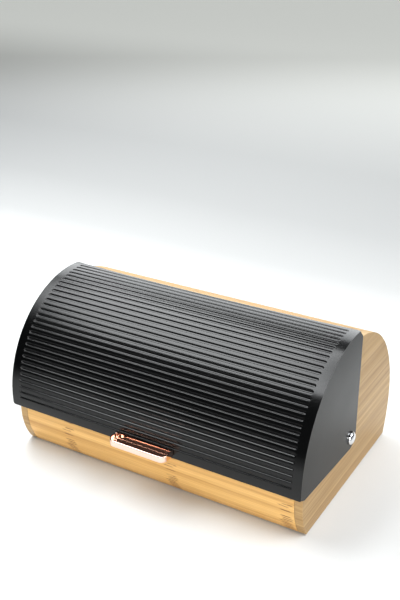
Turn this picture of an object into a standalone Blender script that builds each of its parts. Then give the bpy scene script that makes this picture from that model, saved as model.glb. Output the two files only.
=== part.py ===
"""Bread box with a roll top: a bamboo body and a ribbed steel lid that turns back on two side pivots.

Metres, +Z up, front towards -Y. The origin is on the ground under the middle of the box.
Outlines in the side plane are lists of (y, z), measured from the lid's arc centre until a solid is built.
Angles in the side plane run from +Y towards +Z, in degrees.
"""

import math

import bmesh
import bpy

GAP = 0.0003  # air between pieces that only meet
FIT = 0.0001  # radial clearance of a round piece in its hole

# Lid
LID_WIDTH = 0.400
LID_RADIUS = 0.1316  # outside of the sheet
LID_START = 185.6  # the sheet's front edge, a little under the arc centre
LID_END = 83.9  # the sheet's rear edge, a little behind the top
LID_END_BOW = 2.7  # degrees that the rear edge is cut back at mid-width
SHEET = 0.0010
GROOVES = 28
GROOVE_PITCH = 3.384  # degrees
GROOVE_FIRST = 0.7  # degrees above the horizontal, counted from the front
GROOVE_DEPTH = 0.0013
GROOVE_WIDTH = 0.54  # share of the pitch, at the surface
GROOVE_FLOOR = 0.24  # share of the pitch, at the floor
SIDE_MARGIN = 0.0112  # plain sheet beside the grooves
GROOVE_RUNOUT = 0.0020

# Cheeks and pivot
CHEEK = 0.0012
CHEEK_INSET = 0.0004  # the cheek's face in from the sheet's end
FLANGE = 0.0090
PIVOT_Y = 0.076 * LID_RADIUS
PIVOT_Z = -0.076 * LID_RADIUS
PIVOT_R = 0.0030
CHEEK_HEEL = 0.0160  # cheek radius round the pivot
DOME_R = 0.0082
DOME_HEIGHT = 0.0046
NUT_R = 0.0056
NUT_THICK = 0.0039
WASHER_R = 0.0075
WASHER_THICK = 0.0011

# Bamboo body
PANEL = 0.0100  # side panels
RAIL = 0.0120  # front rail
BODY_RADIUS = 1.0646 * LID_RADIUS  # rear outline
BODY_Y = 0.0593 * LID_RADIUS
BODY_Z = -0.1612 * LID_RADIUS
BODY_DROP = 0.560 * LID_RADIUS  # arc centre down to the underside
SHELL = 0.0100
SHELL_FRONT = 0.0304 * LID_RADIUS
TOP_RAIL_DEPTH = 0.0100
TOP_RAIL_DROP = 0.0051  # rail's top under the sheet's outside
BASE = 0.0120
FRONT_BOW = 0.0900  # radius of the front rail's face
FRONT_Y = -0.9172 * LID_RADIUS  # foremost line of the front rail
FRONT_Z = -0.1824 * LID_RADIUS
PANEL_LOW_TOP = -0.076 * LID_RADIUS
PANEL_HIGH_FRONT = -0.076 * LID_RADIUS
PANEL_FILLET = 0.0250
DOWEL_R = 0.0030
DOWEL_BITE = 0.0065  # into the panel
DOWEL_DEEP = 0.0120  # into the piece between the panels

# Lip bar, bumpers, feet
LIP_THICK = 0.0012
LIP_DEPTH = 0.0190
LIP_RISE = 5.0  # degrees of the sheet that the bar's upright covers
BUMPER_R = 0.0040
BUMPER_HEIGHT = 0.0026
OPEN_BUMPER_R = 0.0034
OPEN_BUMPER = 0.0032  # its thickness, in front of the top rail
FOOT_R = 0.0090
FOOT_HEIGHT = 0.0015

# Handle
HANDLE_WIDTH = 0.0790
HANDLE_DEPTH = 0.0205
HANDLE_RISE = 0.0032  # the handle's underside above the lip bar's
HANDLE_HEIGHT = 0.0085
HANDLE_WALL = 0.0016
HANDLE_BACK = 0.0040
HANDLE_FLOOR = 0.0018
HANDLE_CORNER = 0.0085
HANDLE_SCREW_R = 0.0014
HANDLE_SCREW_SPREAD = 0.0500
HANDLE_SCREW_HEAD_R = 0.0028

# Derived
SHEET_INSIDE = LID_RADIUS - SHEET
FLANGE_OUTSIDE = SHEET_INSIDE - GAP - FIT
CHEEK_OUT = LID_WIDTH / 2 - CHEEK_INSET
CHEEK_IN = CHEEK_OUT - CHEEK
BODY_HALF = CHEEK_IN - 0.0004
INNER_HALF = BODY_HALF - PANEL
BETWEEN_HALF = INNER_HALF - GAP
REAR_REACH = BODY_Y + BODY_RADIUS
HANDLE_BACK_Y = -LID_RADIUS - GAP
FRONT_REACH = HANDLE_DEPTH - HANDLE_BACK_Y
LID_Y = (FRONT_REACH - REAR_REACH) / 2
LID_Z = BODY_DROP + GAP + FOOT_HEIGHT
FRONT_CENTRE_Y = FRONT_Y + FRONT_BOW
LIP_LOW = LID_RADIUS * math.sin(math.radians(LID_START)) + 0.0006
RAIL_TOP = LIP_LOW - GAP - BUMPER_HEIGHT - GAP
HANDLE_LOW = LIP_LOW + HANDLE_RISE
HANDLE_HIGH = HANDLE_LOW + HANDLE_HEIGHT

BAMBOO = (0.66, 0.45, 0.23)
BLACK = (0.013, 0.013, 0.014)
CHROME = (0.82, 0.83, 0.85)
COPPER = (0.80, 0.46, 0.34)
STEEL = (0.55, 0.55, 0.57)
RUBBER = (0.03, 0.03, 0.03)


def clear_scene():
    for obj in list(bpy.data.objects):
        bpy.data.objects.remove(obj, do_unlink=True)


def material(name, colour, metallic, roughness):
    made = bpy.data.materials.new(name)
    made.use_nodes = True
    shader = made.node_tree.nodes["Principled BSDF"]
    shader.inputs["Base Color"].default_value = (*colour, 1.0)
    shader.inputs["Metallic"].default_value = metallic
    shader.inputs["Roughness"].default_value = roughness
    return made


def solid(name, points, faces, look, smooth=False):
    """One closed object from points measured from the arc centre, with its own material."""
    mesh = bpy.data.meshes.new(name)
    mesh.from_pydata([(x, y + LID_Y, z + LID_Z) for x, y, z in points], [], faces)
    bm = bmesh.new()
    bm.from_mesh(mesh)
    bmesh.ops.recalc_face_normals(bm, faces=bm.faces)
    bm.to_mesh(mesh)
    bm.free()
    obj = bpy.data.objects.new(name, mesh)
    bpy.context.scene.collection.objects.link(obj)
    if look is None:
        obj.hide_render = True
        obj.display_type = "WIRE"
    else:
        mesh.materials.append(material(name, *look))
    if smooth:
        mesh.shade_smooth()
        mesh.set_sharp_from_angle(angle=math.radians(35))
    return obj


def arc(centre, radius, start, end, count):
    """Points on a circle in the side plane, both ends included."""
    found = []
    for i in range(count + 1):
        a = math.radians(start + (end - start) * i / count)
        found.append((centre[0] + radius * math.cos(a), centre[1] + radius * math.sin(a)))
    return found


def angle_at_z(centre, radius, z, rear):
    a = math.degrees(math.asin((z - centre[1]) / radius))
    return a if rear else 180 - a


def angle_at_y(centre, radius, y):
    return math.degrees(math.acos((y - centre[0]) / radius))


def prism(name, outline, x0, x1, look, smooth=False):
    """The outline in the side plane, carried from x0 to x1."""
    n = len(outline)
    points = [(x0, y, z) for y, z in outline] + [(x1, y, z) for y, z in outline]
    faces = [tuple(range(n))[::-1], tuple(range(n, 2 * n))]
    for i in range(n):
        j = (i + 1) % n
        faces.append((i, j, n + j, n + i))
    return solid(name, points, faces, look, smooth)


def turned(name, profile, place, look, sides=32, smooth=True):
    """A turned piece. profile is (along, radius) pairs, and place(along, u, v) gives a point."""
    points = []
    rings = []
    for along, radius in profile:
        if radius == 0:
            rings.append([len(points)])
            points.append(place(along, 0.0, 0.0))
            continue
        rings.append(list(range(len(points), len(points) + sides)))
        for i in range(sides):
            a = 2 * math.pi * (i + 0.5) / sides
            points.append(place(along, radius * math.cos(a), radius * math.sin(a)))
    faces = []
    for first, second in zip(rings, rings[1:]):
        for i in range(sides):
            j = (i + 1) % sides
            if len(first) == 1:
                faces.append((first[0], second[j], second[i]))
            elif len(second) == 1:
                faces.append((first[i], first[j], second[0]))
            else:
                faces.append((first[i], first[j], second[j], second[i]))
    if len(rings[0]) > 1:
        faces.append(tuple(rings[0])[::-1])
    if len(rings[-1]) > 1:
        faces.append(tuple(rings[-1]))
    return solid(name, points, faces, look, smooth)


def ring(name, inner, outer, low, high, place, look, sides=32, outer_sides=None):
    """A washer, or a nut when outer_sides is 6."""
    points = []
    for along in (low, high):
        for radius, flats in ((inner, sides), (outer, outer_sides or sides)):
            for i in range(sides):
                a = 2 * math.pi * (i + 0.5) / sides
                half = math.pi / flats
                turn = (a % (2 * half)) - half
                r = radius if flats == sides else radius * math.cos(half) / math.cos(turn)
                points.append(place(along, r * math.cos(a), r * math.sin(a)))
    faces = []
    for i in range(sides):
        j = (i + 1) % sides
        a, b, c, d = i, sides + i, 2 * sides + i, 3 * sides + i
        e, f, g, h = j, sides + j, 2 * sides + j, 3 * sides + j
        faces += [(a, b, f, e), (c, g, h, d), (a, e, g, c), (b, d, h, f)]
    return solid(name, points, faces, look)


def cut(target, cutter):
    modifier = target.modifiers.new(cutter.name, "BOOLEAN")
    modifier.operation = "DIFFERENCE"
    modifier.solver = "EXACT"
    modifier.object = cutter


def join(target, other):
    modifier = target.modifiers.new(other.name, "BOOLEAN")
    modifier.operation = "UNION"
    modifier.solver = "EXACT"
    modifier.object = other


def along_x(y, z):
    return lambda a, u, v: (a, y + u, z + v)


def along_y(x, z):
    return lambda a, u, v: (x + u, a, z + v)


def along_z(x, y):
    return lambda a, u, v: (x + u, y + v, a)


def drill(target, name, radius, start, end, place, sides=32):
    cut(target, turned(name, [(start, radius), (end, radius)], place, None, sides, False))


def lid_sheet():
    """The ribbed sheet, as one plate with its outside and inside a constant thickness apart."""
    rows = [(LID_START, 0.0, 0.0), (LID_START - 3.0, 0.0, 0.0)]
    for n in range(GROOVES):
        centre = 180 - GROOVE_FIRST - n * GROOVE_PITCH
        for share, depth in ((GROOVE_WIDTH, 0.0), (GROOVE_FLOOR, 1.0), (-GROOVE_FLOOR, 1.0), (-GROOVE_WIDTH, 0.0)):
            rows.append((centre + share * GROOVE_PITCH / 2, depth, 0.0))
    rows += [(LID_END + 1.0, 0.0, 1.0), (LID_END, 0.0, 1.0)]
    half = LID_WIDTH / 2
    end = half - SIDE_MARGIN
    floor = end - GROOVE_RUNOUT
    columns = [(-half, 0.0), (-end, 0.0), (-floor, 1.0)]
    columns += [(floor * share, 1.0) for share in (-0.7, -0.35, 0.0, 0.35, 0.7)]
    columns += [(floor, 1.0), (end, 0.0), (half, 0.0)]
    points = []
    for radius in (LID_RADIUS, SHEET_INSIDE):
        for angle, deep, bow in rows:
            for x, share in columns:
                r = radius - GROOVE_DEPTH * deep * share
                a = math.radians(angle + bow * LID_END_BOW * (1 - (x / half) ** 2))
                points.append((x, r * math.cos(a), r * math.sin(a)))
    across = len(columns)
    many = len(rows) * across
    faces = []
    for i in range(len(rows) - 1):
        for j in range(across - 1):
            a = i * across + j
            quad = (a, a + 1, a + across + 1, a + across)
            faces += [quad, tuple(many + k for k in quad[::-1])]
    for i in range(len(rows) - 1):
        for j, flip in ((0, False), (across - 1, True)):
            a = i * across + j
            quad = (a, a + across, many + a + across, many + a)
            faces.append(quad[::-1] if flip else quad)
    for j in range(across - 1):
        for i, flip in ((0, True), (len(rows) - 1, False)):
            a = i * across + j
            quad = (a, a + 1, many + a + 1, many + a)
            faces.append(quad[::-1] if flip else quad)
    return solid("lid_sheet", points, faces, (BLACK, 0.0, 0.42), True)


def cheek_outline():
    rim = SHEET_INSIDE - GAP
    points = arc((0, 0), rim, LID_START - 0.1, LID_END, 36)[::-1]
    corner_y = 0.175 * LID_RADIUS
    points = [(corner_y, 0.914 * LID_RADIUS)] + points
    points.append((-0.914 * LID_RADIUS, -0.130 * LID_RADIUS))
    heel = arc((PIVOT_Y, PIVOT_Z), CHEEK_HEEL, -96, 6, 12)
    return points + heel


def cheek(side, sign):
    outline = cheek_outline()
    ends = sorted((sign * CHEEK_IN, sign * CHEEK_OUT))
    plate = prism(side + "_cheek", outline, *ends, (BLACK, 0.0, 0.40), True)
    strip = arc((0, 0), FLANGE_OUTSIDE, LID_START - 1.5, LID_END + 0.6, 36)
    strip += arc((0, 0), FLANGE_OUTSIDE - 0.0009, LID_START - 1.5, LID_END + 0.6, 36)[::-1]
    ends = sorted((sign * (CHEEK_IN + CHEEK / 2), sign * (CHEEK_IN - FLANGE)))
    join(plate, prism(side + "_flange_tool", strip, *ends, None))
    bore = sorted((sign * (CHEEK_IN - 0.001), sign * (CHEEK_OUT + 0.001)))
    drill(plate, side + "_cheek_bore", PIVOT_R + FIT, *bore, along_x(PIVOT_Y, PIVOT_Z))
    return plate


def front_inside(z, offset=0.0):
    """y of the front rail's inner face at a height, moved back by offset."""
    r = FRONT_BOW - RAIL - offset
    return FRONT_CENTRE_Y - math.sqrt(r * r - (z - FRONT_Z) ** 2)


def front_inner_arc(low, high, offset, count):
    """The line just behind the front rail, from low up to high."""
    centre = (FRONT_CENTRE_Y, FRONT_Z)
    r = FRONT_BOW - RAIL - offset
    return arc(centre, r, angle_at_z(centre, r, low, False), angle_at_z(centre, r, high, False), count)


def front_outer_arc(high, low, count):
    """The box's front face, from high down to low. The rail and both panels share it."""
    centre = (FRONT_CENTRE_Y, FRONT_Z)
    top = angle_at_z(centre, FRONT_BOW, high, False)
    bottom = angle_at_z(centre, FRONT_BOW, low, False)
    return arc(centre, FRONT_BOW, top, bottom, count)


def front_rail():
    outline = front_outer_arc(RAIL_TOP, -BODY_DROP, 10)
    outline += front_inner_arc(-BODY_DROP, RAIL_TOP, 0.0, 10)
    return prism("front_rail", outline, -BETWEEN_HALF, BETWEEN_HALF, (BAMBOO, 0.0, 0.5), True)


def body_circle(offset, low, high_y, count, top_first=False):
    """An arc parallel to the rear outline, from the height low up to where y is high_y."""
    centre = (BODY_Y, BODY_Z)
    r = BODY_RADIUS - offset
    found = arc(centre, r, angle_at_z(centre, r, low, True), angle_at_y(centre, r, high_y), count)
    return found[::-1] if top_first else found


def side_panel(side, sign):
    outline = body_circle(0.0, -BODY_DROP, PANEL_HIGH_FRONT, 32)
    fillet = (PANEL_HIGH_FRONT - PANEL_FILLET, PANEL_LOW_TOP + PANEL_FILLET)
    outline += arc(fillet, PANEL_FILLET, 0, -90, 8)
    outline += front_outer_arc(PANEL_LOW_TOP, -BODY_DROP, 12)
    ends = sorted((sign * INNER_HALF, sign * BODY_HALF))
    panel = prism(side + "_side_panel", outline, *ends, (BAMBOO, 0.0, 0.5), True)
    bore = (ends[0] - 0.001, ends[1] + 0.001)
    drill(panel, side + "_panel_bore", PIVOT_R + FIT, *bore, along_x(PIVOT_Y, PIVOT_Z))
    return panel


def rear_shell():
    outline = body_circle(0.0, -BODY_DROP, SHELL_FRONT, 32)
    outline += body_circle(SHELL, -BODY_DROP, SHELL_FRONT, 32, True)
    return prism("rear_shell", outline, -BETWEEN_HALF, BETWEEN_HALF, (BAMBOO, 0.0, 0.5), True)


def top_rail():
    centre = (BODY_Y, BODY_Z)
    r = BODY_RADIUS + GAP
    back = SHELL_FRONT + TOP_RAIL_DEPTH
    outline = arc(centre, r, angle_at_y(centre, r, SHELL_FRONT), angle_at_y(centre, r, back), 3)
    outline += [(back, LID_RADIUS - TOP_RAIL_DROP), (SHELL_FRONT, LID_RADIUS - TOP_RAIL_DROP)]
    return prism("top_rail", outline, -BETWEEN_HALF, BETWEEN_HALF, (BAMBOO, 0.0, 0.5))


def base_board():
    low = -BODY_DROP
    high = low + BASE
    centre = (BODY_Y, BODY_Z)
    r = BODY_RADIUS - SHELL - GAP
    outline = arc(centre, r, angle_at_z(centre, r, low, True), angle_at_z(centre, r, high, True), 3)
    outline += front_inner_arc(low, high, GAP, 4)[::-1]
    return prism("base_board", outline, -BETWEEN_HALF, BETWEEN_HALF, (BAMBOO, 0.0, 0.5))


def pivot(side, sign):
    """The screw with its chrome dome outside the cheek, and the washer and nut inside the panel."""
    place = along_x(PIVOT_Y, PIVOT_Z)
    under = CHEEK_OUT + 0.0004
    washer_out = INNER_HALF - GAP
    washer_in = washer_out - WASHER_THICK
    nut_out = washer_in - GAP
    nut_in = nut_out - NUT_THICK
    profile = [(sign * (nut_in - 0.0012), PIVOT_R), (sign * under, PIVOT_R), (sign * under, DOME_R)]
    profile.append((sign * (under + 0.0008), DOME_R))
    for i in range(1, 6):
        a = math.radians(90 * i / 6)
        rise = 0.0008 + (DOME_HEIGHT - 0.0008) * math.sin(a)
        profile.append((sign * (under + rise), DOME_R * math.cos(a)))
    profile.append((sign * (under + DOME_HEIGHT), 0))
    turned(side + "_pivot_screw", profile, place, (CHROME, 1.0, 0.08))
    bore = PIVOT_R + FIT
    ring(side + "_pivot_washer", bore, WASHER_R, sign * washer_in, sign * washer_out, place, (STEEL, 1.0, 0.3))
    ring(side + "_pivot_nut", bore, NUT_R, sign * nut_in, sign * nut_out, place, (STEEL, 1.0, 0.3), 36, 6)


def dowel(name, start, end, place, blocks):
    """A round dowel with its blind hole cut in each of the blocks it joins."""
    turned(name, [(start + GAP, DOWEL_R), (end - GAP, DOWEL_R)], place, (BAMBOO, 0.0, 0.6), 16)
    for block in blocks:
        drill(block, f"{name}_hole_{block.name}", DOWEL_R + FIT, start, end, place, 16)


def side_dowels(side, sign, panel, rail, shell, base):
    """Dowels across the panel's inner face, into the front rail, the shell and the base board."""
    ends = sorted((sign * (BETWEEN_HALF - DOWEL_DEEP), sign * (INNER_HALF + DOWEL_BITE)))
    for word, share in (("upper", 0.26), ("lower", 0.62)):
        z = RAIL_TOP - share * (BODY_DROP + RAIL_TOP)
        y = front_inside(z) - RAIL / 2
        dowel(f"{side}_{word}_front_dowel", *ends, along_x(y, z), (rail, panel))
    middle = BODY_RADIUS - SHELL / 2
    for word, angle in (("upper", 62.0), ("lower", 8.0)):
        y, z = arc((BODY_Y, BODY_Z), middle, angle, angle, 1)[0]
        dowel(f"{side}_{word}_shell_dowel", *ends, along_x(y, z), (shell, panel))
    z = -BODY_DROP + BASE / 2
    for word, y in (("front", -0.50 * LID_RADIUS), ("rear", 0.60 * LID_RADIUS)):
        dowel(f"{side}_{word}_base_dowel", *ends, along_x(y, z), (base, panel))


def lip_bar():
    """The steel bar inside the sheet's front edge. Its lip closes the gap above the front rail."""
    outside = FLANGE_OUTSIDE
    inside = outside - LIP_THICK
    start = 180 - math.degrees(math.asin(LIP_LOW / outside))
    top = start - LIP_RISE
    elbow = 180 - math.degrees(math.asin((LIP_LOW + LIP_THICK) / inside))
    outline = arc((0, 0), outside, top, start, 5)
    tip = outline[-1][0] + LIP_DEPTH
    outline += [(tip, LIP_LOW), (tip, LIP_LOW + LIP_THICK)]
    outline += arc((0, 0), inside, elbow, top, 5)
    half = INNER_HALF - 0.0010
    return prism("lid_lip_bar", outline, -half, half, (BLACK, 0.0, 0.45))


def handle_ring(inset, z):
    """One level of the handle: a rounded rectangle with small rear corners."""
    half = HANDLE_WIDTH / 2 - inset
    back = HANDLE_BACK_Y - (HANDLE_BACK if inset >= HANDLE_WALL else min(inset, 0.0004))
    front = HANDLE_BACK_Y - HANDLE_DEPTH + inset
    r = HANDLE_CORNER - min(inset, HANDLE_CORNER - 0.002)
    small = 0.0012
    found = []
    for cx, cy, radius, start in (
        (half - small, back - small, small, 0),
        (-half + small, back - small, small, 90),
        (-half + r, front + r, r, 180),
        (half - r, front + r, r, 270),
    ):
        for i in range(9):
            a = math.radians(start + 90 * i / 8)
            found.append((cx + radius * math.cos(a), cy + radius * math.sin(a), z))
    return found


def handle():
    low, high = HANDLE_LOW, HANDLE_HIGH
    rings = [
        handle_ring(0.0012, low),
        handle_ring(0.0004, low + 0.0004),
        handle_ring(0.0, low + 0.0012),
        handle_ring(0.0, high - 0.0004),
        handle_ring(0.0004, high),
        handle_ring(HANDLE_WALL, high),
        handle_ring(HANDLE_WALL + 0.0006, low + HANDLE_FLOOR + 0.0008),
        handle_ring(HANDLE_WALL + 0.0016, low + HANDLE_FLOOR),
    ]
    n = len(rings[0])
    points = [p for level in rings for p in level]
    faces = [tuple(range(n))[::-1], tuple(range((len(rings) - 1) * n, len(rings) * n))]
    for k in range(len(rings) - 1):
        for i in range(n):
            j = (i + 1) % n
            faces.append((k * n + i, k * n + j, (k + 1) * n + j, (k + 1) * n + i))
    return solid("handle", points, faces, (COPPER, 1.0, 0.15), True)


def handle_screws(grip, sheet, bar):
    """Two screws from inside, through the bar and the sheet, into the handle's back wall."""
    z = (HANDLE_LOW + HANDLE_HIGH) / 2
    tip = HANDLE_BACK_Y - HANDLE_BACK + 0.0008
    seat = -math.sqrt((FLANGE_OUTSIDE - LIP_THICK) ** 2 - z * z) + 0.0005
    for side, sign in (("left", -1), ("right", 1)):
        place = along_y(sign * HANDLE_SCREW_SPREAD / 2, z)
        profile = [(tip, HANDLE_SCREW_R), (seat, HANDLE_SCREW_R), (seat, HANDLE_SCREW_HEAD_R)]
        profile += [(seat + 0.0009, HANDLE_SCREW_HEAD_R * 0.92), (seat + 0.0014, HANDLE_SCREW_HEAD_R * 0.6)]
        turned(side + "_handle_screw", profile, place, (STEEL, 1.0, 0.25), 20)
        for block in (grip, sheet, bar):
            name = f"{side}_handle_hole_{block.name}"
            drill(block, name, HANDLE_SCREW_R + FIT, tip - GAP, seat, place, 20)


def bumpers_and_feet():
    for side, sign in (("left", -1), ("right", 1)):
        x = sign * 0.6 * INNER_HALF
        y = front_inside(RAIL_TOP) - RAIL / 2
        low = RAIL_TOP + GAP
        profile = [(low, BUMPER_R), (low + BUMPER_HEIGHT * 0.7, BUMPER_R), (low + BUMPER_HEIGHT, BUMPER_R * 0.8)]
        turned(side + "_front_bumper", profile, along_z(x, y), (RUBBER, 0.0, 0.7), 20)
        face = SHELL_FRONT - GAP
        z = LID_RADIUS - TOP_RAIL_DROP - OPEN_BUMPER_R - 0.0010
        profile = [(face, OPEN_BUMPER_R), (face - OPEN_BUMPER * 0.7, OPEN_BUMPER_R)]
        profile.append((face - OPEN_BUMPER, OPEN_BUMPER_R * 0.8))
        turned(side + "_open_bumper", profile, along_y(x, z), (RUBBER, 0.0, 0.7), 20)
        for word, y in (("front", -0.56 * LID_RADIUS), ("rear", 0.78 * LID_RADIUS)):
            profile = [(-LID_Z, FOOT_R), (-BODY_DROP - GAP, FOOT_R)]
            place = along_z(sign * 0.86 * INNER_HALF, y)
            turned(f"{side}_{word}_foot", profile, place, (RUBBER, 0.0, 0.8), 24)


def build():
    clear_scene()
    rail = front_rail()
    shell = rear_shell()
    base = base_board()
    top_rail()
    for side, sign in (("left", -1), ("right", 1)):
        panel = side_panel(side, sign)
        side_dowels(side, sign, panel, rail, shell, base)
        pivot(side, sign)
        cheek(side, sign)
    sheet = lid_sheet()
    bar = lip_bar()
    grip = handle()
    handle_screws(grip, sheet, bar)
    bumpers_and_feet()


build()
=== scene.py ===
"""Looks of the roll-top bread box: bamboo body, ribbed satin-black lid, rose-gold pull, chrome pivots."""
import math

import bmesh
import bpy
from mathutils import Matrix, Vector


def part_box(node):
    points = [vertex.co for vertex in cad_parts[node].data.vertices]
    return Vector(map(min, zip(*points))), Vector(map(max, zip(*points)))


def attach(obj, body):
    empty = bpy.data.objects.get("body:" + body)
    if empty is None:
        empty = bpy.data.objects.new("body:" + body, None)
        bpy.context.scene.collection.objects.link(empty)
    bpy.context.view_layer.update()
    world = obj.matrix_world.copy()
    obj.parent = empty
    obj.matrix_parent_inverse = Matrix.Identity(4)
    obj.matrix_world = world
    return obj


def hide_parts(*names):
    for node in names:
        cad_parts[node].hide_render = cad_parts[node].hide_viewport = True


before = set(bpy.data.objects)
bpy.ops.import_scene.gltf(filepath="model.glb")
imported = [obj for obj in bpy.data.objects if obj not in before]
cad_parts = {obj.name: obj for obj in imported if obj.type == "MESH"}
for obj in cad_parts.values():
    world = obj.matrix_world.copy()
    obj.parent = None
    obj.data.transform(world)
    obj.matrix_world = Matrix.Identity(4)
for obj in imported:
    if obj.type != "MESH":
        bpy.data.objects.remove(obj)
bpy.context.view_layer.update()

# Sizes shared with the CAD, in metres and degrees, read back from its boxes where they can be.
# Angles are about the lid's arc centre: 0 is to the rear, 90 is up and 180 is to the front.
RADIUS = 0.1316  # outside of the lid's sheet
SHEET = 0.0010  # its thickness
sheet_low, sheet_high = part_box("lid_sheet")
AXIS = Vector((0.0, sheet_low.y + RADIUS, sheet_high.z - RADIUS))  # lid's arc centre
HALF = sheet_high.x  # half of the sheet's width
START, END = 185.6, 83.9  # the sheet's front edge, and its rear edge at the ends
END_BOW = 2.7  # how far the rear edge is cut back at mid-width
GROOVES, PITCH = 28, 3.384
FIRST = 0.7  # from the arc centre's level up to the middle of the first groove
GROOVE_HALF = 0.0021  # half of a groove's width, over its walls
GROOVE_WALL = 0.00125  # width of one sloping wall
GROOVE_DEPTH = 0.0013
GROOVE_END = 0.1888  # where the grooves end, from mid-width
GROOVE_SHARE = 0.29  # of the pitch, from a groove's middle to just past its wall
LAST = 180 - FIRST - (GROOVES - 1 + GROOVE_SHARE) * PITCH  # where the last groove ends
CORNER = 0.0024  # radius of the sheet's corners
SHELL_AXIS = (AXIS.y + 0.0593 * RADIUS, AXIS.z - 0.1612 * RADIUS)  # Y and Z of the rear shell's arc centre


# ---------------------------------------------------------------- materials
class Look:
    """A material with its Principled shader, and short calls that add nodes to it."""

    def __init__(self, name, **sockets):
        self.mat = bpy.data.materials.new(name)
        self.mat.use_nodes = True
        self.tree = self.mat.node_tree
        self.shader = self.tree.nodes["Principled BSDF"]
        for key, value in sockets.items():
            self.shader.inputs[key.replace("_", " ")].default_value = value
        self.point = self.node("ShaderNodeTexCoord").outputs["Object"]

    def node(self, kind, inputs=(), **settings):
        made = self.tree.nodes.new(kind)
        for key, value in settings.items():
            setattr(made, key, value)
        for key, value in dict(inputs).items():
            self.put(made.inputs[key], value)
        return made

    def put(self, socket, value):
        if isinstance(value, bpy.types.NodeSocket):
            self.tree.links.new(value, socket)
        else:
            socket.default_value = value

    def set(self, socket, value):
        self.put(self.shader.inputs[socket], value)

    def math(self, operation, a, b=0.0, clamp=False):
        made = self.node("ShaderNodeMath", {0: a, 1: b}, operation=operation)
        made.use_clamp = clamp
        return made.outputs[0]

    def add(self, a, b, clamp=False):
        return self.math("ADD", a, b, clamp)

    def less(self, a, b):
        return self.math("SUBTRACT", a, b)

    def times(self, a, b):
        return self.math("MULTIPLY", a, b)

    def xyz(self):
        return self.node("ShaderNodeSeparateXYZ", {0: self.point}).outputs

    def vector(self, x, y, z):
        return self.node("ShaderNodeCombineXYZ", {0: x, 1: y, 2: z}).outputs[0]

    def noise(self, vector, scale=1.0, detail=3.0, roughness=0.5):
        inputs = {"Vector": vector, "Scale": scale, "Detail": detail, "Roughness": roughness}
        return self.node("ShaderNodeTexNoise", inputs).outputs["Fac"]

    def white(self, w):
        return self.node("ShaderNodeTexWhiteNoise", {"W": w}, noise_dimensions="1D").outputs["Value"]

    def remap(self, value, a, b, c, d, smooth=False):
        made = self.node("ShaderNodeMapRange", {0: value, 1: a, 2: b, 3: c, 4: d})
        if smooth:
            made.interpolation_type = "SMOOTHSTEP"
        return made.outputs[0]

    def stretch(self, noise, low=0.0, high=1.0):
        """The middle of a noise's range, where most of it lies, taken to low and high."""
        return self.remap(noise, 0.3, 0.7, low, high)

    def mix(self, factor, a, b):
        made = self.node("ShaderNodeMix", data_type="RGBA", blend_type="MIX")
        for socket, value in ((made.inputs[0], factor), (made.inputs[6], a), (made.inputs[7], b)):
            self.put(socket, value)
        return made.outputs[2]

    def bump(self, height, strength, distance):
        made = self.node("ShaderNodeBump", {"Strength": strength, "Distance": distance, "Height": height})
        self.set("Normal", made.outputs[0])


def rgb(r, g, b):
    return (r, g, b, 1.0)


# Light and dark tones of the bamboo strips.
YELLOW = ((0.86, 0.56, 0.215), (0.46, 0.235, 0.062))  # front, base and dowels
SIDE_SHADOWED_TONES = ((0.54, 0.365, 0.165), (0.27, 0.155, 0.055))  # side panels: painted shade, a darker copy of the bamboo's tones, also a little less yellow
SHELL_TOP_SHADOWED_TONES = ((0.62, 0.42, 0.175), (0.34, 0.18, 0.056))  # shell and top rail: painted shade, a darker copy of the bamboo's tones
NODE_BROWN = (0.19, 0.075, 0.020)
GLUE_BROWN = (0.34, 0.18, 0.065)
NODE_GAP = 0.150  # from one growth node to the next, along a strip
NODE_PLACE = 0.20  # of that gap
DASH_FULL, DASH_GONE = 0.0040, 0.0085  # from a growth node's middle to where it starts and stops fading
TONE_SHARE, FIBRE_SHARE, STREAK_SHARE = 0.42, 0.34, 0.30  # how much each one darkens a strip
WANDER = 0.0006  # how far a glue line strays
SHELL_GRAIN = 0.140  # radius at which the rear shell's strips have their width


def strip_axes(look, grain, across):
    """Distances along the grain, over the strips and into the board."""
    axes = dict(zip("xyz", look.xyz()))
    if across == "arc":
        dz = look.less(axes["z"], SHELL_AXIS[1])
        dy = look.less(axes["y"], SHELL_AXIS[0])
        return axes[grain], look.times(look.math("ARCTAN2", dz, dy), SHELL_GRAIN), axes["y"]
    into = ({"x", "y", "z"} - {grain, across}).pop()
    return axes[grain], axes[across], axes[into]


def growth_nodes(look, along, over, index, edge, seed, spread, marks):
    """How dark a growth node is: short broken dashes, at a different place along each strip."""
    shift = look.white(look.add(index, seed + 71.3))
    turn = look.math("FRACT", look.add(look.math("DIVIDE", along, NODE_GAP), look.times(shift, spread)))
    away = look.times(look.math("ABSOLUTE", look.less(turn, NODE_PLACE)), NODE_GAP)
    dash = look.remap(away, DASH_FULL, DASH_GONE, 1.0, 0.0, smooth=True)
    patches = look.noise(look.vector(look.times(along, 60.0), look.times(over, 1100.0), seed), detail=2.0)
    broken = look.remap(patches, 0.38, 0.50, 0.0, 1.0)
    narrow = look.remap(edge, 0.20, 0.32, marks, 0.0, smooth=True)
    some = look.math("GREATER_THAN", look.white(look.add(index, seed + 9.1)), 0.3)
    return look.times(look.times(dash, look.times(broken, narrow)), some)


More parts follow.
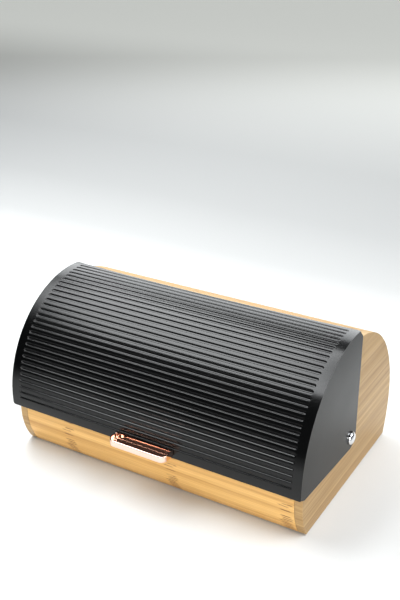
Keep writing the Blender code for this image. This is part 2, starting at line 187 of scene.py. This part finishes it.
def bamboo(name, grain, across, seed, strip=0.0031, spread=0.04, marks=0.85, tones=YELLOW):
    """Strips of bamboo glued side by side: each its own tone, with fibres, growth nodes and a fine glue line.

    The strips are `strip` wide. `spread` scatters the growth nodes along them, and `marks` darkens the nodes.
    """
    look = Look(name, Coat_Weight=0.18, Coat_Roughness=0.28)
    along, over, into = strip_axes(look, grain, across)
    wander = look.noise(look.vector(look.times(along, 3.0), seed, 0.0), detail=1.0)
    over = look.add(over, look.times(wander, WANDER))
    cell = look.math("DIVIDE", over, strip)
    index = look.math("FLOOR", cell)
    edge = look.math("ABSOLUTE", look.less(look.less(cell, index), 0.5))  # 0 mid-strip, 0.5 at the glue
    tone = look.white(look.add(index, seed + 0.37))

    lane = look.add(look.times(over, 620.0), look.times(tone, 40.0))
    fibre = look.noise(look.vector(look.times(along, 9.0), lane, look.times(into, 60.0)), 1.0, 5.0, 0.6)
    lane = look.times(over, 95.0)
    streak = look.noise(look.vector(look.times(along, 3.2), lane, look.times(into, 9.0)))
    amount = look.add(look.times(tone, TONE_SHARE), look.times(look.stretch(fibre), FIBRE_SHARE))
    amount = look.add(amount, look.times(look.stretch(streak), STREAK_SHARE), clamp=True)
    light, dark = tones
    colour = look.mix(amount, rgb(*light), rgb(*dark))

    dark_nodes = growth_nodes(look, along, over, index, edge, seed, spread, marks)
    colour = look.mix(dark_nodes, colour, rgb(*NODE_BROWN))
    glue = look.remap(edge, 0.44, 0.5, 0.0, 0.38, smooth=True)
    look.set("Base Color", look.mix(glue, colour, rgb(*GLUE_BROWN)))
    look.set("Roughness", look.stretch(fibre, 0.40, 0.54))
    look.bump(look.less(fibre, look.times(glue, 1.5)), strength=0.22, distance=0.00012)
    return look.mat


def coating(name, base, low, high, ior):
    """Satin black paint: a fine orange peel, and gloss that wanders a little."""
    look = Look(name, IOR=ior)
    cloud = look.noise(look.point, scale=14.0)
    peel = look.noise(look.point, 1700.0, 2.0, 0.55)
    lighter = [channel * 1.25 for channel in base]
    look.set("Base Color", look.mix(look.stretch(cloud), rgb(*base), rgb(*lighter)))
    look.set("Roughness", look.stretch(cloud, low, high))
    look.bump(peel, strength=0.06, distance=0.00004)
    return look.mat


def metal(name, colour, tint, low, high, scratch):
    """Plated metal with faint wipe marks along X."""
    look = Look(name, Metallic=1.0)
    x, y, z = look.xyz()
    wipe = look.noise(look.vector(look.times(x, 60.0), look.times(y, 900.0), look.times(z, 900.0)))
    haze = look.noise(look.point, scale=45.0, detail=2.0)
    look.set("Base Color", look.mix(haze, rgb(*colour), rgb(*tint)))
    look.set("Roughness", look.remap(look.add(wipe, look.times(haze, 0.4)), 0.4, 1.0, low, high))
    look.bump(wipe, strength=scratch, distance=0.00003)
    return look.mat


def rubber(name):
    look = Look(name)
    grain = look.noise(look.point, scale=900.0)
    look.set("Base Color", look.mix(grain, rgb(0.022, 0.022, 0.023), rgb(0.045, 0.045, 0.046)))
    look.set("Roughness", look.stretch(grain, 0.68, 0.85))
    look.bump(grain, strength=0.3, distance=0.0001)
    return look.mat


BLACK = (0.0016, 0.0017, 0.0018)
LOOKS = {
    "front": bamboo("bamboo_front", "x", "z", seed=3.0),
    "base": bamboo("bamboo_base", "x", "y", seed=11.0, strip=0.018, spread=0.9, marks=0.25),
    # the shell's and top rail's tones are painted shade: a darker copy of the bamboo's
    "shell": bamboo("bamboo_shell", "x", "arc", seed=23.0, strip=0.0062, spread=0.5, marks=0.5, tones=SHELL_TOP_SHADOWED_TONES),
    "top": bamboo("bamboo_top", "x", "y", seed=31.0, tones=SHELL_TOP_SHADOWED_TONES),
    # the side panels' tones are painted shade: a darker copy of the bamboo's
    "left": bamboo("bamboo_left", "y", "z", seed=41.0, strip=0.0034, spread=0.9, marks=0.12, tones=SIDE_SHADOWED_TONES),
    "right": bamboo("bamboo_right", "y", "z", seed=57.0, strip=0.0034, spread=0.9, marks=0.12, tones=SIDE_SHADOWED_TONES),
    "dowel": bamboo("dowel_wood", "x", "z", seed=5.0, strip=0.0030),
    "sheet": coating("black_sheet", BLACK, 0.17, 0.21, ior=1.5),
    "cheek": coating("black_cheek", BLACK, 0.20, 0.26, ior=1.36),
    "gold": metal("rose_gold", (0.95, 0.72, 0.62), (0.91, 0.64, 0.53), 0.04, 0.09, scratch=0.04),
    "chrome": metal("chrome", (0.90, 0.91, 0.93), (0.84, 0.85, 0.88), 0.03, 0.08, scratch=0.02),
    "steel": metal("zinc_steel", (0.60, 0.60, 0.61), (0.50, 0.50, 0.52), 0.22, 0.38, scratch=0.10),
    "rubber": rubber("rubber"),
}


# ---------------------------------------------------------------- the CAD's pieces
NAMED_LOOKS = {
    "front_rail": "front", "base_board": "base", "rear_shell": "shell", "top_rail": "top", "handle": "gold",
}
EDGES = {  # how wide each piece's edges are rounded
    "front_rail": 0.0008, "left_side_panel": 0.0010, "right_side_panel": 0.0010, "rear_shell": 0.0006,
    "top_rail": 0.0010, "base_board": 0.0006, "left_cheek": 0.00025, "right_cheek": 0.00025,
}
SMALL_EDGE = 0.00015  # on every other piece
WELD = 0.00001  # points closer than this become one
SHARP_ANGLE = 33  # edges turning more than this are rounded


def look_for(name):
    if name.endswith("dowel"):
        return "dowel"
    if name.endswith(("bumper", "foot")):
        return "rubber"
    if name.endswith(("washer", "nut", "handle_screw")):
        return "steel"
    if name.endswith("pivot_screw"):
        return "chrome"
    if name.endswith("side_panel"):
        return name.split("_")[0]
    return NAMED_LOOKS.get(name, "cheek")


def soften(obj, width):
    """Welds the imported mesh's split corners and rounds its sharp edges a little, with shading to match."""
    mesh = obj.data
    for polygon in mesh.polygons:
        polygon.use_smooth = True
    if mesh.attributes.get("custom_normal"):
        mesh.attributes.remove(mesh.attributes["custom_normal"])
    weld = obj.modifiers.new("weld", "WELD")
    weld.merge_threshold = WELD
    bevel = obj.modifiers.new("bevel", "BEVEL")
    bevel.width = width
    bevel.segments = 2
    bevel.limit_method = "ANGLE"
    bevel.angle_limit = math.radians(SHARP_ANGLE)
    bevel.harden_normals = True


def dress_nodes():
    for name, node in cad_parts.items():
        node.data.materials.clear()
        node.data.materials.append(LOOKS[look_for(name)])
        soften(node, EDGES.get(name, SMALL_EDGE))


# ---------------------------------------------------------------- new pieces
def piece(name, points, faces, look, replaced, sharp):
    """A closed mesh with points from the lid's arc centre. It rides on the lid and stands for a CAD node."""
    mesh = bpy.data.meshes.new(name)
    mesh.from_pydata([Vector(p) + AXIS for p in points], [], faces)
    bm = bmesh.new()
    bm.from_mesh(mesh)
    bmesh.ops.recalc_face_normals(bm, faces=bm.faces)
    bm.to_mesh(mesh)
    bm.free()
    mesh.shade_smooth()
    mesh.set_sharp_from_angle(angle=math.radians(sharp))
    mesh.materials.append(LOOKS[look])
    obj = bpy.data.objects.new(name, mesh)
    bpy.context.scene.collection.objects.link(obj)
    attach(obj, "lid")
    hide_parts(replaced)


# Where the sheet's mesh has its rows and columns: close together on groove walls, groove ends and corners.
FRONT_ROWS = (0.0, 0.0002, 0.0005, 0.0010, 0.0016, 0.0024, 0.0062)  # metres from the front edge
WALL_ROWS = (0.10, 0.15, 0.20, 0.25, GROOVE_SHARE)  # shares of the pitch from a groove's middle
REAR_ROWS = (0.25, 0.5, 0.7, 0.82, 0.92, 0.98, 1.0)  # shares of the way from the last groove to the rear edge
MIDDLE_COLUMNS = (0.0, 0.03, 0.06, 0.09, 0.12, 0.15, 0.18)
GROOVE_COLUMNS = (0.1836, 0.1850, 0.1858, 0.1866, 0.1871, 0.1876, 0.1881, 0.1885, GROOVE_END, 0.1891)
CORNER_COLUMNS = (0.1920, 0.1950, 0.1976, 0.1981, 0.1987, 0.1992, 0.1997, HALF)


def smooth(t):
    t = min(1.0, max(0.0, t))
    return t * t * (3 - 2 * t)


def sheet_rows():
    """One (angle, away, share, edge) for each row of the sheet's mesh, from the front to the rear.

    away is the arc distance to the nearest groove's middle, share the way gone from the last groove to the
    rear edge, and edge the arc distance to the nearer of the front and rear edges.
    """
    arc = RADIUS * math.pi / 180
    angles = [START - d / arc for d in FRONT_ROWS]
    half_pitch = 0.5
    shares = (-half_pitch, *(-share for share in WALL_ROWS[::-1]), 0.0, *WALL_ROWS)
    for n in range(GROOVES):
        # The first groove has no row between it and one before.
        angles += [180 - FIRST - (n + share) * PITCH for share in shares if n or share > -half_pitch]
    rows = []
    for angle in angles:
        n = min(GROOVES - 1, max(0, round((180 - FIRST - angle) / PITCH)))
        away = abs(180 - FIRST - n * PITCH - angle) * arc
        rows.append((angle, away, 0.0, min(START - angle, angle - END) * arc))
    for share in REAR_ROWS:
        rows.append((LAST, GROOVE_HALF, share, (1 - share) * (LAST - END) * arc))
    return rows


def sheet_columns():
    right = MIDDLE_COLUMNS + GROOVE_COLUMNS + CORNER_COLUMNS
    return [-x for x in right[:0:-1]] + list(right)


def sheet_point(radius, row, x):
    """A point of the sheet: on a groove's floor or wall, and drawn in where a corner is round."""
    angle, away, share, edge = row
    past = max(0.0, abs(x) - (GROOVE_END - GROOVE_HALF))
    deep = GROOVE_DEPTH * smooth((GROOVE_HALF - math.hypot(away, past)) / GROOVE_WALL)
    limit, inner = HALF, HALF - CORNER
    if edge < CORNER:
        limit = HALF - CORNER + math.sqrt(max(0.0, CORNER**2 - (CORNER - edge) ** 2))
    if abs(x) > inner:
        x = math.copysign(inner + (abs(x) - inner) * (limit - inner) / CORNER, x)
    a = math.radians(angle + share * (END + END_BOW * (1 - (x / HALF) ** 2) - angle))
    r = radius - deep
    return (x, r * math.cos(a), r * math.sin(a))


def build_sheet():
    """The lid's sheet: an outer and an inner skin, closed by a rim."""
    rows, columns = sheet_rows(), sheet_columns()
    skins = (RADIUS, RADIUS - SHEET)
    points = [sheet_point(radius, row, x) for radius in skins for row in rows for x in columns]
    wide, high = len(columns), len(rows)
    skin = wide * high
    faces = []
    for i in range(high - 1):
        for j in range(wide - 1):
            a = i * wide + j
            faces.append((a, a + 1, a + wide + 1, a + wide))
            faces.append((skin + a + wide, skin + a + wide + 1, skin + a + 1, skin + a))
    rim = [i * wide for i in range(high)] + [(high - 1) * wide + j for j in range(1, wide)]
    rim += [i * wide + wide - 1 for i in range(high - 2, -1, -1)] + list(range(wide - 2, 0, -1))
    for a, b in zip(rim, rim[1:] + rim[:1]):
        faces.append((a, b, skin + b, skin + a))
    piece("ribbed_sheet", points, faces, "sheet", "lid_sheet", sharp=50)


PULL_WALL = 0.0015
PULL_FLOOR = 0.0016
FRONT_CORNER, LEAST_CORNER, REAR_CORNER = 0.0085, 0.0022, 0.0014  # radii of the pull's outline
UNDER_ROLL, REAR_ROLL = 0.0016, 0.0003  # the rounding under the pull, at its front and at its rear
FLAT_UNDER = (0.0022, 0.0007)  # how far in its flat underside starts, at the front and at the rear
PULL_FILLET = 0.0014  # inside, between wall and floor
PULL_SHELF = 0.0036  # thickness of the rear wall, which hides the screws' tips
RIM_STEP, WALL_STEP = 0.00004, 0.0002  # small steps in, so that no two rings lie on each other
CORNER_STEPS = 10


def pull_ring(half, front, back, inset, rear, z):
    """The pull's outline at height z, drawn in by `inset`, and by `rear` at the back."""
    corner = max(LEAST_CORNER, FRONT_CORNER - inset)
    ring = []
    for cx, cy, r, start in (
        (half - inset - REAR_CORNER, back - rear - REAR_CORNER, REAR_CORNER, 0),
        (-half + inset + REAR_CORNER, back - rear - REAR_CORNER, REAR_CORNER, 90),
        (-half + inset + corner, front + inset + corner, corner, 180),
        (half - inset - corner, front + inset + corner, corner, 270),
    ):
        for i in range(CORNER_STEPS + 1):
            a = math.radians(start + 90 * i / CORNER_STEPS)
            ring.append((cx + r * math.cos(a), cy + r * math.sin(a), z))
    return ring


def pull_levels(low, high):
    """(inset, rear, height) of each ring, from the underside out, up over the rim and down to the floor."""
    levels = [(*FLAT_UNDER, low)]
    floor = low + PULL_FLOOR
    for i in range(7):  # rolled under-edge
        a = math.radians(15 * i)
        inward = 1 - math.sin(a)
        levels.append((UNDER_ROLL * inward, REAR_ROLL * inward, low + UNDER_ROLL * (1 - math.cos(a))))
    rim = PULL_WALL / 2
    for i in range(6):  # outer half of the rim
        a = math.radians(18 * i)
        levels.append((rim * (1 - math.cos(a)), 0.0, high - rim * (1 - math.sin(a))))
    for i in range(6):  # inner half, past the flat shelf at the rear
        a = math.radians(18 * i)
        inset = RIM_STEP + rim * (1 + math.sin(a))
        levels.append((inset, PULL_SHELF, high - rim * (1 - math.cos(a))))
    for i in range(7):  # inside wall and fillet
        a = math.radians(15 * i)
        inset = PULL_WALL + WALL_STEP + PULL_FILLET * (1 - math.cos(a))
        levels.append((inset, PULL_SHELF, floor + PULL_FILLET * (1 - math.sin(a))))
    levels.append((PULL_WALL + 2 * WALL_STEP + PULL_FILLET, PULL_SHELF + WALL_STEP, floor))
    return levels


def build_handle():
    """The pull: a shallow tray with a rolled rim and a dished floor."""
    low_corner, high_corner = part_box("handle")
    half = high_corner.x
    back, front = high_corner.y - AXIS.y, low_corner.y - AXIS.y
    levels = pull_levels(low_corner.z - AXIS.z, high_corner.z - AXIS.z)
    rings = [pull_ring(half, front, back, *level) for level in levels]
    n = len(rings[0])
    points = [p for ring in rings for p in ring]
    faces = [tuple(range(n))[::-1], tuple(range((len(rings) - 1) * n, len(rings) * n))]
    for k in range(len(rings) - 1):
        for i in range(n):
            j = (i + 1) % n
            faces.append((k * n + i, k * n + j, (k + 1) * n + j, (k + 1) * n + i))
    piece("rose_gold_pull", points, faces, "gold", "handle", sharp=40)


# ---------------------------------------------------------------- stage, light, camera
FLOOR_SIDE = 9.0
FLOOR_FRONT, SWEEP_START = -4.0, 7.0  # along Y
SWEEP_RADIUS, WALL_TOP = 1.2, 3.0
RAMP_FRONT, RAMP_REAR = -1.0, 3.0  # along Y, where the floor's grey starts and stops changing
# Places are shares of the way along the ramp. The greys are painted shade: the floor is bright under the box
# and greyer in front of the pictured floor and behind it, for what the lid reflects.
FRONT_PLACE, FRONT_PAINTED_SHADE_GREY = 0.09, (0.30, 0.30, 0.30)
REAR_PLACE, REAR_PAINTED_SHADE_GREY = 1.0, (0.36, 0.36, 0.345)
FLOOR_PAINTED_SHADE_GREYS = ((0.125, 0.66), (0.345, 0.66), (0.37, 0.53), (0.40, 0.42), (0.4625, 0.35), (0.56, 0.31))
SIDE_START, SIDE_END, SIDE_PAINTED_SHADE = 0.26, 0.42, 0.62  # along X, where the floor's painted shade to the right of the box starts and ends, and how dark it is
GLOW_START, GLOW_END, PAINTED_GLOW = 0.8, 2.9, 0.42  # along Y, where the floor's painted glow starts, and how strongly it glows


def paper():
    """The floor's material: greys along Y and darker to the right of the box, both painted shade, and a
    painted glow far behind.
    """
    look = Look("pale_paper", Roughness=0.7)
    x, y, _ = look.xyz()
    # painted shade: the floor's greys along Y, darker in front of the pictured floor and behind the box
    ramp = look.node("ShaderNodeValToRGB", {0: look.remap(y, RAMP_FRONT, RAMP_REAR, 0.0, 1.0)})
    stops = ramp.color_ramp.elements
    stops[0].position, stops[0].color = FRONT_PLACE, rgb(*FRONT_PAINTED_SHADE_GREY)
    stops[1].position, stops[1].color = REAR_PLACE, rgb(*REAR_PAINTED_SHADE_GREY)
    for place, grey in FLOOR_PAINTED_SHADE_GREYS:
        stops.new(place).color = rgb(grey * 0.99, grey, grey * 0.995)
    # painted shade: the floor darkens to the right of the box
    painted_shade_aside = look.remap(x, SIDE_START, SIDE_END, 0.0, SIDE_PAINTED_SHADE, smooth=True)
    fibres = look.noise(look.point, scale=260.0, detail=4.0)
    look.set("Base Color", look.mix(painted_shade_aside, ramp.outputs[0], rgb(0.0, 0.0, 0.0)))
    look.set("Roughness", look.stretch(fibres, 0.62, 0.74))
    look.bump(fibres, strength=0.05, distance=0.0001)
    # painted light: the floor glows far behind, though it is no lamp
    look.set("Emission Color", rgb(0.97, 1.0, 0.96))
    look.set("Emission Strength", look.remap(y, GLOW_START, GLOW_END, 0.0, PAINTED_GLOW, smooth=True))
    return look.mat


def build_stage():
    """A pale floor that sweeps up behind."""
    profile = [(FLOOR_FRONT, 0.0), (SWEEP_START, 0.0)]
    for i in range(1, 13):
        a = math.radians(90 * i / 12)
        profile.append((SWEEP_START + SWEEP_RADIUS * math.sin(a), SWEEP_RADIUS * (1 - math.cos(a))))
    profile.append((SWEEP_START + SWEEP_RADIUS, WALL_TOP))
    points = [(x, y, z) for x in (-FLOOR_SIDE, FLOOR_SIDE) for y, z in profile]
    n = len(profile)
    faces = [(i, i + 1, n + i + 1, n + i) for i in range(n - 1)]
    mesh = bpy.data.meshes.new("sweep")
    mesh.from_pydata(points, [], faces)
    mesh.shade_smooth()
    mesh.materials.append(paper())
    obj = bpy.data.objects.new("sweep", mesh)
    bpy.context.scene.collection.objects.link(obj)


LAMPS = (  # name, place, what it faces, width and height, watts, colour
    ("overhead", (-0.74, -0.02, 1.65), (0.0, 0.0, 0.1), (1.8, 0.9), 33.0, (0.97, 0.99, 1.0)),
    ("window", (-1.03, 1.8, 1.3), (0.0, 0.0, 0.1), (2.8, 1.2), 35.0, (0.96, 0.985, 1.0)),
    ("right_box", (1.5, 0.15, 1.8), (0.1, 0.0, 0.1), (1.8, 1.8), 46.0, (0.98, 0.99, 1.0)),
    ("front_fill", (0.9, -2.1, 0.8), (0.0, 0.0, 0.1), (1.6, 1.3), 39.0, (1.0, 0.99, 0.975)),
)
ROOM_COLOUR, ROOM_STRENGTH = (0.93, 0.95, 1.0), 0.07


def area(name, place, target, size, watts, colour):
    light = bpy.data.lights.new(name, "AREA")
    light.shape = "RECTANGLE"
    light.size, light.size_y = size
    light.energy = watts
    light.color = colour
    obj = bpy.data.objects.new(name, light)
    obj.location = place
    obj.rotation_mode = "QUATERNION"
    obj.rotation_quaternion = (Vector(target) - Vector(place)).to_track_quat("-Z", "Y")
    bpy.context.scene.collection.objects.link(obj)


def build_light():
    for lamp in LAMPS:
        area(*lamp)
    world = bpy.data.worlds.new("room")
    world.use_nodes = True
    background = world.node_tree.nodes["Background"]
    background.inputs["Color"].default_value = rgb(*ROOM_COLOUR)
    background.inputs["Strength"].default_value = ROOM_STRENGTH
    bpy.context.scene.world = world


CAMERA_FROM_AXIS = Vector((0.51522, -0.88565, 0.59732))  # from the lid's arc centre
CAMERA_ANGLES = (65.3605, -0.2357, 30.4586)
SENSOR, LENS = 36.0, 55.47  # millimetres


def build_camera():
    data = bpy.data.cameras.new("camera")
    data.sensor_width = SENSOR
    data.lens = LENS
    obj = bpy.data.objects.new("camera", data)
    obj.location = AXIS + CAMERA_FROM_AXIS
    obj.rotation_euler = [math.radians(a) for a in CAMERA_ANGLES]
    bpy.context.scene.collection.objects.link(obj)
    bpy.context.scene.camera = obj


dress_nodes()
build_sheet()
build_handle()
build_stage()
build_light()
build_camera()
bpy.context.scene.view_settings.view_transform = "Standard"
bpy.context.scene.view_settings.look = "Medium High Contrast"
